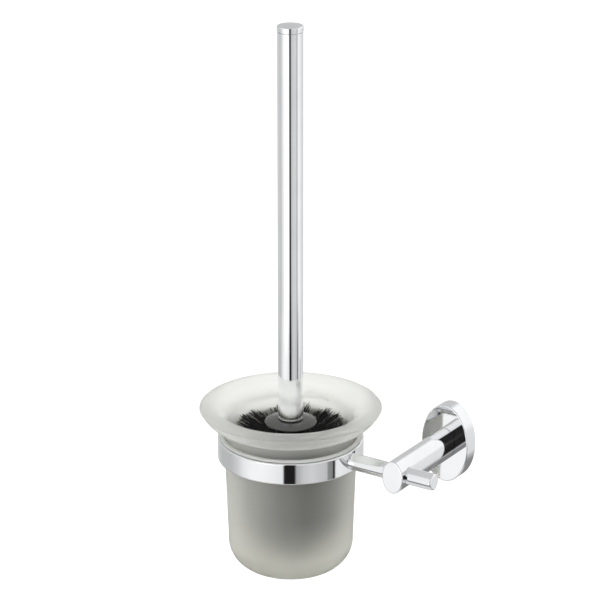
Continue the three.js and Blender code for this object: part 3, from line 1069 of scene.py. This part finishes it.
# %% One strand
STRAND_STEPS = 5
STRAND_R = 0.21 * MM
TIP_SHARE = 0.55
begin()
bpy.ops.mesh.primitive_circle_add(vertices=3, radius=1, fill_type="NGON")
pattern = bpy.context.object
bpy.ops.object.mode_set(mode="EDIT")
bpy.ops.mesh.select_mode(type="FACE")
bpy.ops.mesh.select_all(action="SELECT")
for step in range(STRAND_STEPS):
    bpy.ops.mesh.extrude_region_move(TRANSFORM_OT_translate={"value": (0, 0, 1 / STRAND_STEPS)})
bpy.ops.transform.resize(value=(TIP_SHARE, TIP_SHARE, 1))
bpy.ops.mesh.select_all(action="SELECT")
bpy.ops.mesh.normals_make_consistent(inside=False)
leave()
STRAND = np.array([v.co for v in pattern.data.vertices])
STRAND_FACES = [tuple(f.vertices) for f in pattern.data.polygons]
bpy.data.objects.remove(pattern)
print("one strand:", len(STRAND), "points,", len(STRAND_FACES), "faces")


# %% Copy the strand along curves
def strands(name, starts, bends, tips, thickness):
    """One mesh of many strands, each along a curve from its start past its bend to its tip."""
    t = STRAND[:, 2][None, :, None]
    starts, bends, tips = [np.asarray(p)[:, None, :] for p in (starts, bends, tips)]
    line = (1 - t) ** 2 * starts + 2 * t * (1 - t) * bends + t**2 * tips
    along = 2 * (1 - t) * (bends - starts) + 2 * t * (tips - bends)
    along /= np.linalg.norm(along, axis=2, keepdims=True)
    up = np.where(np.abs(along[..., 2:]) > 0.9, [[[1.0, 0, 0]]], [[[0, 0, 1.0]]])
    side = np.cross(along, up)
    side /= np.linalg.norm(side, axis=2, keepdims=True)
    over = np.cross(side, along)
    radius = np.asarray(thickness)[:, None, None]
    places = line + radius * (STRAND[None, :, :1] * side + STRAND[None, :, 1:2] * over)
    total, size = places.shape[0], len(STRAND)
    faces = [tuple(i * size + v for v in face) for i in range(total) for face in STRAND_FACES]
    mesh = bpy.data.meshes.new(name)
    mesh.from_pydata(places.reshape(-1, 3).tolist(), [], faces)
    piece = bpy.data.objects.new(name, mesh)
    bpy.context.scene.collection.objects.link(piece)
    take(piece)
    bpy.ops.object.mode_set(mode="EDIT")
    bpy.ops.mesh.select_all(action="SELECT")
    bpy.ops.mesh.normals_make_consistent(inside=False)
    leave()
    return piece


def round_axis(radius, angle, z):
    """Points round the cup's axis, one for each angle."""
    return np.stack([
        AXIS.x + radius * np.cos(angle),
        AXIS.y + radius * np.sin(angle),
        z + 0 * angle,
    ], axis=1)


# %% [markdown]
# ## Rows of tufts
# Each row has the same number of tufts, and every second row is turned by half a tuft, as on
# a real head. Where each strand starts and ends is drawn at random from one seeded source, so
# the head comes out the same each time. The turns are in radians about the axis.

# %% Rows of tufts
draw = np.random.default_rng(20)
TUFTS = 18
STRANDS_IN_TUFT = 30
ROW_HEIGHT = 9.4 * MM
ROOT_TURN, TIP_TURN = 0.035, 0.12
ROOT_SPREAD, TIP_SPREAD, TIP_WEAR = 0.45 * MM, 2.6 * MM, 1.1 * MM
HEAD_R = upright(ROWS[3])[0]
HEAD_FOOT = upright("bristle_crown")[1]
HEAD_ROUND = 40 * MM
ROOT_DEPTH = 0.8 * MM


def head_radius(z):
    """How far the tips reach at a height: the head's lower end is rounded."""
    below = np.clip((HEAD_FOOT + HEAD_ROUND - z) / HEAD_ROUND, 0, 0.999)
    return HEAD_R * np.sqrt(1 - below**2)


def fan(row_index, node):
    """The starts, bends and tips of one row's strands."""
    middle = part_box(node)[0].z + ROW_HEIGHT / 2
    tuft = np.repeat(np.arange(TUFTS), STRANDS_IN_TUFT)
    total = len(tuft)
    angle = (tuft + 0.5 * (row_index % 2)) * math.tau / TUFTS
    root_angle = angle + draw.normal(0, ROOT_TURN, total)
    root_z = middle + draw.normal(0, ROOT_SPREAD, total)
    tip_angle = angle + draw.normal(0, TIP_TURN, total)
    tip_z = middle + draw.normal(0, TIP_SPREAD, total)
    reach = head_radius(tip_z) - np.abs(draw.normal(0, TIP_WEAR, total))
    return root_angle, root_z, tip_angle, tip_z, reach


rows = []
for index, node in enumerate(ROWS[:-1]):
    root_angle, root_z, tip_angle, tip_z, reach = fan(index, node)
    piece = strands(
        f"tufts_{index + 1}",
        round_axis(HUB_R - ROOT_DEPTH, root_angle, root_z),
        round_axis((HUB_R + reach) / 2, tip_angle, (root_z + tip_z) / 2 + 0.5 * MM),
        round_axis(reach, tip_angle, tip_z),
        STRAND_R * draw.uniform(0.85, 1.15, len(root_angle)),
    )
    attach(piece, "brush_head")
    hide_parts(node)
    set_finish(piece, "bristle")
    rows.append(piece)
print("rows:", len(rows), "strands in each:", TUFTS * STRANDS_IN_TUFT)

# %% [markdown]
# ## Top row
# The top row has been pushed about by use, so it gets a profile of its own. Its strands turn
# up at the two sides and lie flat at the back and the front, except for a few strays. LEAN is
# the side that the head has been pushed towards, counted round the axis from the right.

# %% Top row
TOP_TUFTS = 36
TOP_STRANDS = 15
TOP_STRAND_R = 0.3 * MM
TOP_ROOT = 5.5 * MM
TOP_BEND = 13 * MM
LEAN = math.radians(33.197)
# Tips above the row's foot in mm, by direction in degrees: 0 is the side of LEAN, 90 the back.
DIRECTIONS = [0, 35, 52, 60, 67, 75, 82, 101, 106, 112, 118, 135, 160, 200, 270, 330, 360]
TIP_HEIGHTS = [17, 19, 17, 11, 18, 18, 11, 11, 16, 15, 11, 16, 18, 16, 12, 15, 17]
low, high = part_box(ROWS[-1])
total = TOP_TUFTS * TOP_STRANDS
tuft_angle = np.repeat(np.arange(TOP_TUFTS), TOP_STRANDS) * math.tau / TOP_TUFTS
angle = tuft_angle + draw.normal(0, 0.03, total)
tip_angle = tuft_angle + draw.normal(0, 0.1, total)
root_z = low.z + TOP_ROOT + draw.normal(0, 0.9 * MM, total)
direction = np.degrees(tip_angle - LEAN) % 360
tip_z = low.z + np.interp(direction, DIRECTIONS, TIP_HEIGHTS) * MM
tip_z = np.minimum(tip_z - np.abs(draw.normal(0, 2.8 * MM, total)) + 0.8 * MM, high.z + 0.6 * MM)
reach = HEAD_R + 1 * MM - np.abs(draw.normal(0, 3.2 * MM, total))
top_row = strands(
    "tufts_top",
    round_axis(HUB_R - ROOT_DEPTH, angle, root_z),
    round_axis(HUB_R + TOP_BEND, (angle + tip_angle) / 2, root_z + 0.3 * (tip_z - root_z)),
    round_axis(reach, tip_angle, tip_z),
    TOP_STRAND_R * draw.uniform(0.85, 1.15, total),
)
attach(top_row, "brush_head")
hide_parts(ROWS[-1])
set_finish(top_row, "bristle")
count(top_row)

# %% [markdown]
# ## Crown
# Under the lowest row the tufts point down and outwards and end on a round, so the head can
# scrub with its foot. The directions are drawn evenly over a cap of a sphere.

# %% Crown of tufts at the foot
total = 700
angle = draw.uniform(0, math.tau, total)
tilt = np.arccos(1 - draw.uniform(0, 1, total) * 0.8)
root = HUB_BOTTOM + 1.2 * MM
tip_z = np.minimum(HEAD_FOOT + HEAD_ROUND * (1 - np.cos(tilt)), HUB_BOTTOM)
tip_r = head_radius(tip_z + 0.2 * MM) - np.abs(draw.normal(0, 0.8 * MM, total))
tip_r = np.maximum(tip_r, 0)
root_r = (HUB_R - 2.5 * MM) * np.sqrt(draw.uniform(0, 1, total))
crown = strands(
    "tufts_foot",
    round_axis(root_r, angle, root + 0 * angle),
    round_axis((root_r + tip_r) / 2, angle, (root + tip_z) / 2),
    round_axis(tip_r, angle, tip_z + 0.2 * MM),
    STRAND_R * draw.uniform(0.85, 1.15, total),
)
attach(crown, "brush_head")
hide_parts("bristle_crown")
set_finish(crown, "bristle")
count(crown)

# %% [markdown]
# ## Finishes
# Each material starts from the piece's own coordinates, so that its pattern keeps its real
# size. What is the same all over a surface is set on the shader itself, and only colour,
# roughness and bump come from nodes.

# %% The shared recipe
def material(name, build, fixed):
    """A material: build returns what varies over the surface, fixed is the same all over."""
    made = bpy.data.materials.new(name)
    made.use_nodes = True
    wiring = Wiring(made.node_tree)
    place = wiring.node("ShaderNodeTexCoord").outputs["Object"]
    varying = build(wiring, place)
    shader = wiring.node("ShaderNodeBsdfPrincipled", sockets={**fixed, **varying})
    wiring.node("ShaderNodeOutputMaterial", sockets={0: shader.outputs[0]})
    return made


def noise(wiring, place, scale, detail=2, stretch=None, roughness=0.5):
    """Noise from 0 to 1. scale counts its patches in a metre."""
    if stretch:
        moved = wiring.node("ShaderNodeMapping", sockets={"Vector": place, "Scale": stretch})
        place = moved.outputs[0]
    sockets = {"Vector": place, "Scale": scale, "Detail": detail, "Roughness": roughness}
    return wiring.number("ShaderNodeTexNoise", sockets=sockets, out="Fac")


def shade(wiring, amount, first, second):
    """A colour between two, by an amount from 0 to 1."""
    ramp = wiring.node("ShaderNodeValToRGB", {"stops": [(0, first), (1, second)]}, {0: amount})
    return ramp.outputs["Color"]


def blend(wiring, amount, first, second):
    """A colour between two colours that vary themselves."""
    sockets = {0: amount, 6: first, 7: second}
    return wiring.node("ShaderNodeMix", {"data_type": "RGBA"}, sockets).outputs[2]


def bumps(wiring, height, strength, distance):
    sockets = {"Height": height, "Strength": strength, "Distance": distance}
    return wiring.node("ShaderNodeBump", sockets=sockets).outputs[0]


# %% [markdown]
# ### Chrome
# Chrome plate is a mirror with a cold tint. A faint film of water marks and wiping makes it a
# little duller in patches, and without that it looks computed.

# %% Chrome
def chrome_pattern(wiring, place):
    film = noise(wiring, place, 55, 4).between(0.42, 0.75)
    wiped = noise(wiring, place, 900, 2, stretch=(1, 1, 0.06))
    spots = noise(wiring, place, 420, 1).between(0.66, 0.78)
    return {
        "Base Color": shade(wiring, film, (0.9, 0.908, 0.92), (0.86, 0.868, 0.88)),
        "Roughness": 0.03 + film * 0.03 + wiped * 0.02 + spots * 0.03,
    }


chrome = material("chrome_plate", chrome_pattern, {"Metallic": 1.0})

# %% [markdown]
# ### Frosted glass
# The cup is etched, so light that goes through is scattered and shapes behind it blur. A
# rough transmission does that, and a fine grain breaks the surface up. Part of the light
# scatters back from the etched skin, which is why the glass is greyish and not clear. A real
# brush leans to one side of its cup and shows there as a soft dark blur. This brush stands
# upright, so that blur is painted shade in the glass's colour, on the side of LEAN. The glass
# is darker and greener towards the foot and greyer at the crest of the rim, and the flare is
# painted palest, as painted light.

# %% Frosted glass
def glass_pattern(wiring, place):
    grain = noise(wiring, place, 2600, 2)
    cloud = noise(wiring, place, 30, 3)
    x, y, z = [
        Number(wiring, out)
        for out in wiring.node("ShaderNodeSeparateXYZ", sockets={0: place}).outputs
    ]
    # How far a point lies from the cup's axis, towards the side of LEAN.
    across = (x - AXIS.x) * math.cos(LEAN) + (y - AXIS.y) * math.sin(LEAN)
    # Painted shade: a darker band painted into the glass's colour where a leaning brush's dark
    # blur would show through.
    painted_brush_shade = across.between(-24 * MM, 9 * MM) * (1 - across.between(15 * MM, 56 * MM))
    painted_brush_shade = painted_brush_shade * z.between(-74 * MM, -40 * MM)
    clear = shade(wiring, cloud, (0.895, 0.895, 0.85), (0.925, 0.925, 0.88))
    painted_shade_colour = shade(wiring, cloud, (0.5, 0.5, 0.467), (0.55, 0.55, 0.515))
    body = blend(wiring, painted_brush_shade, clear, painted_shade_colour)
    # Darker and greener towards the foot, and greyer at the crest of the rim than in the flare.
    foot = (z * -1).between(72 * MM, 90 * MM)
    body = blend(wiring, foot, body, (0.64, 0.64, 0.565, 1))
    # Painted light: the flare is painted palest, brighter than the body of the cup.
    pale = shade(wiring, cloud, (0.975, 0.98, 0.95), (0.99, 0.995, 0.965))
    crest = shade(wiring, cloud, (0.82, 0.825, 0.8), (0.86, 0.865, 0.84))
    flare = blend(wiring, z.between(25 * MM, 31 * MM), pale, crest)
    return {
        "Base Color": blend(wiring, z.between(8 * MM, 16 * MM), body, flare),
        "Roughness": 0.44 + grain * 0.12 + cloud * 0.04,
        "Normal": bumps(wiring, grain, 0.15, 0.05 * MM),
    }


frosted = material("etched_glass", glass_pattern, {"Transmission Weight": 0.82, "IOR": 1.45})

# %% [markdown]
# ### Plastics
# The liner is pale and slightly see-through. The black mouldings have a fine spark-eroded
# grain, the disc is glossy with faint scuffs, and the nylon varies a little from strand to
# strand.

# %% Plastics
def liner_pattern(wiring, place):
    cloud = noise(wiring, place, 90, 3)
    grain = noise(wiring, place, 2400, 2)
    return {
        "Base Color": shade(wiring, cloud, (0.8, 0.81, 0.79), (0.87, 0.88, 0.86)),
        "Roughness": 0.32 + grain * 0.12,
        "Normal": bumps(wiring, grain, 0.1, 0.03 * MM),
    }


def black_pattern(wiring, place):
    grain = noise(wiring, place, 3200, 3)
    wear = noise(wiring, place, 160, 3).between(0.5, 0.8)
    return {
        "Base Color": shade(wiring, wear, (0.012, 0.012, 0.013), (0.028, 0.028, 0.03)),
        "Roughness": 0.3 + grain * 0.2,
        "Normal": bumps(wiring, grain, 0.25, 0.04 * MM),
    }


def nylon_pattern(wiring, place):
    strand_by_strand = noise(wiring, place, 1400, 1)
    dust = noise(wiring, place, 260, 3).between(0.6, 0.85)
    return {
        "Base Color": shade(wiring, dust, (0.005, 0.005, 0.005), (0.016, 0.016, 0.016)),
        "Roughness": 0.34 + strand_by_strand * 0.22,
    }


def disc_pattern(wiring, place):
    scuffs = noise(wiring, place, 1200, 3, stretch=(1, 0.15, 1)).between(0.55, 0.8)
    cloud = noise(wiring, place, 120, 3)
    return {
        "Base Color": shade(wiring, cloud, (0.05, 0.05, 0.048), (0.075, 0.075, 0.072)),
        "Roughness": 0.035 + cloud * 0.03 + scuffs * 0.06,
        "Normal": bumps(wiring, cloud, 0.1, 0.05 * MM),
    }


liner_plastic = material("liner_plastic", liner_pattern, {"Transmission Weight": 0.3, "IOR": 1.49})
black_plastic = material("black_moulding", black_pattern, {"IOR": 1.5})
nylon = material("black_nylon", nylon_pattern, {"IOR": 1.53, "Specular IOR Level": 0.28})
grey_disc = material("grey_disc", disc_pattern, {"IOR": 1.5})

# %% [markdown]
# ### Steel and brass
# The bracket and screws are plain zinc plated steel with rolling marks, and the bush is drawn
# brass with turning rings.

# %% Steel and brass
def steel_pattern(wiring, place):
    rolled = noise(wiring, place, 700, 3, stretch=(1, 1, 0.08))
    bloom = noise(wiring, place, 180, 4).between(0.4, 0.8)
    return {
        "Base Color": shade(wiring, bloom, (0.42, 0.43, 0.45), (0.55, 0.56, 0.57)),
        "Roughness": 0.26 + rolled * 0.18 + bloom * 0.08,
        "Normal": bumps(wiring, rolled, 0.12, 0.03 * MM),
    }


def brass_pattern(wiring, place):
    rings = noise(wiring, place, 2500, 2, stretch=(0.05, 0.05, 1))
    bloom = noise(wiring, place, 200, 3)
    return {
        "Base Color": shade(wiring, bloom, (0.62, 0.45, 0.2), (0.75, 0.57, 0.29)),
        "Roughness": 0.24 + rings * 0.2,
        "Normal": bumps(wiring, rings, 0.15, 0.03 * MM),
    }


steel = material("zinc_plate", steel_pattern, {"Metallic": 1.0})
brass = material("drawn_brass", brass_pattern, {"Metallic": 1.0})

# %% [markdown]
# ## Finish
# Every piece has named its finish, so one loop can dress them all.

# %% Give each piece its finish
by_slot = {
    "chrome": chrome,
    "frosted_glass": frosted,
    "liner": liner_plastic,
    "black_plastic": black_plastic,
    "bristle": nylon,
    "grey_disc": grey_disc,
    "steel": steel,
    "brass": brass,
}
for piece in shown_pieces():
    piece.data.materials.clear()
    piece.data.materials.append(by_slot[piece["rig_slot"]])
